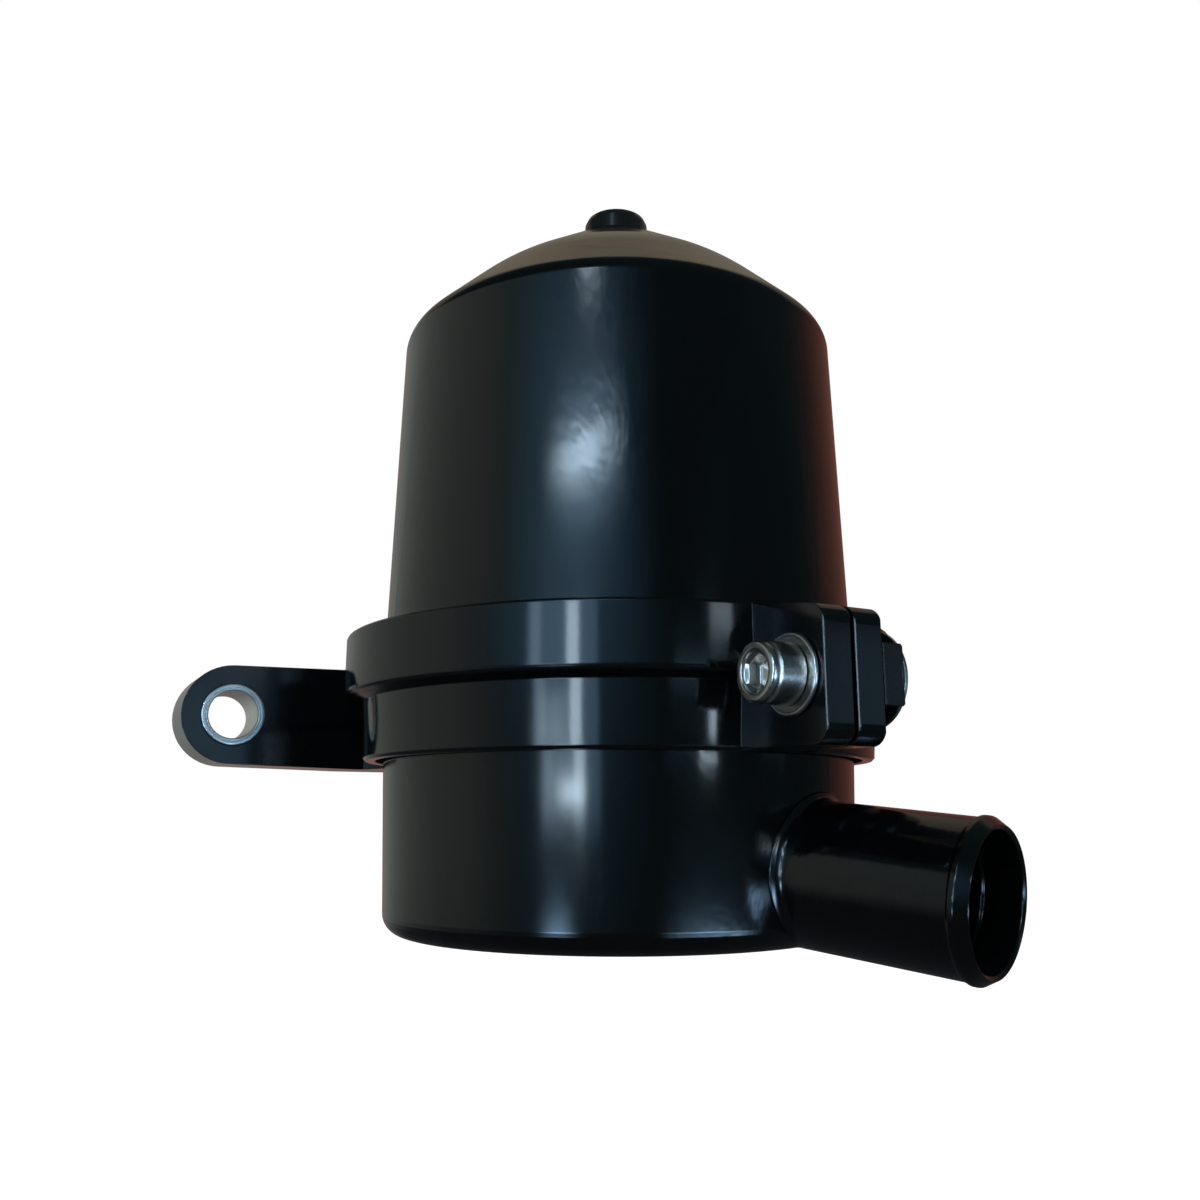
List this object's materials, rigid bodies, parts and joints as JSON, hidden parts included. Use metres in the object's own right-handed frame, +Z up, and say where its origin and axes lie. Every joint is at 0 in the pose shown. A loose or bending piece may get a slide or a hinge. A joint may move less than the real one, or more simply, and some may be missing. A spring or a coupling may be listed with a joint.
{
  "type": "hydraulic reservoir",
  "caption": "Bell-shaped oil vessel on a shallow bowl, held by a split clamp ring with a two-bush mounting plate, a sloping hose outlet, a vent cap and a return filter inside.",
  "frame": {"origin": "middle of the mounting plate's back face", "axes": "+Y out of the mounting face, away from the vessel; +Z up along the vessel's axis; X along the plate"},
  "size_m": [0.1588, 0.1535, 0.1626],
  "materials": {
    "housing_black": "satin black, anodised",
    "ring_black": "satin black, anodised, machined",
    "bolt_steel": "polished",
    "bush_steel": "turned, polished",
    "washer_steel": "zinc plated",
    "nut_black": "black oxide",
    "cap_black": "gloss",
    "seal_rubber": "matte",
    "breather_bronze": "sintered",
    "tube_aluminium": "drawn",
    "core_steel": "zinc plated",
    "plate_steel": "yellow passivated",
    "filter_paper": "resin treated paper",
    "valve_brass": "turned",
    "spring_steel": "drawn wire"
  },
  "bodies": {
    "clamp": {"clamp_ring": "ring_black", "mount_bush_left": "bush_steel", "mount_bush_right": "bush_steel", "head_washer": "bolt_steel", "clamp_nut": "nut_black", "lock_washer": "washer_steel"},
    "bolt": {"clamp_bolt": "bolt_steel"},
    "vessel": {"upper_housing": "housing_black", "lower_housing": "housing_black", "joint_o_ring": "seal_rubber", "outlet_spigot": "housing_black", "filter_core": "core_steel", "filter_pleats": "filter_paper", "filter_lower_plate": "plate_steel", "filter_upper_plate": "plate_steel", "standpipe_seal": "seal_rubber", "return_standpipe": "tube_aluminium", "element_spring": "spring_steel", "bypass_spring": "spring_steel", "bypass_cage": "core_steel"},
    "cap": {"vent_cap": "cap_black", "vent_cap_seal": "seal_rubber", "breather_disc": "breather_bronze"},
    "poppet": {"bypass_poppet": "valve_brass"}
  },
  "joints": [
    {"name": "vessel_swivel", "type": "hinge", "parent": "clamp", "child": "vessel", "pos_m": [0, -0.075, -0.0123], "axis": [0, 0, 1], "continuous": true},
    {"name": "bolt_turn", "type": "hinge", "parent": "clamp", "child": "bolt", "pos_m": [0, -0.141, -0.0013], "axis": [1, 0, 0], "continuous": true},
    {"name": "cap_pull", "type": "slide", "parent": "vessel", "child": "cap", "axis": [0, 0, 1], "range_m": [0, 0.012]},
    {"name": "bypass_lift", "type": "slide", "parent": "vessel", "child": "poppet", "axis": [0, 0, 1], "range_m": [0, 0.003], "stiffness_N_per_m": 600, "springref_m": -0.005, "deforming": ["bypass_spring"]}
  ]
}
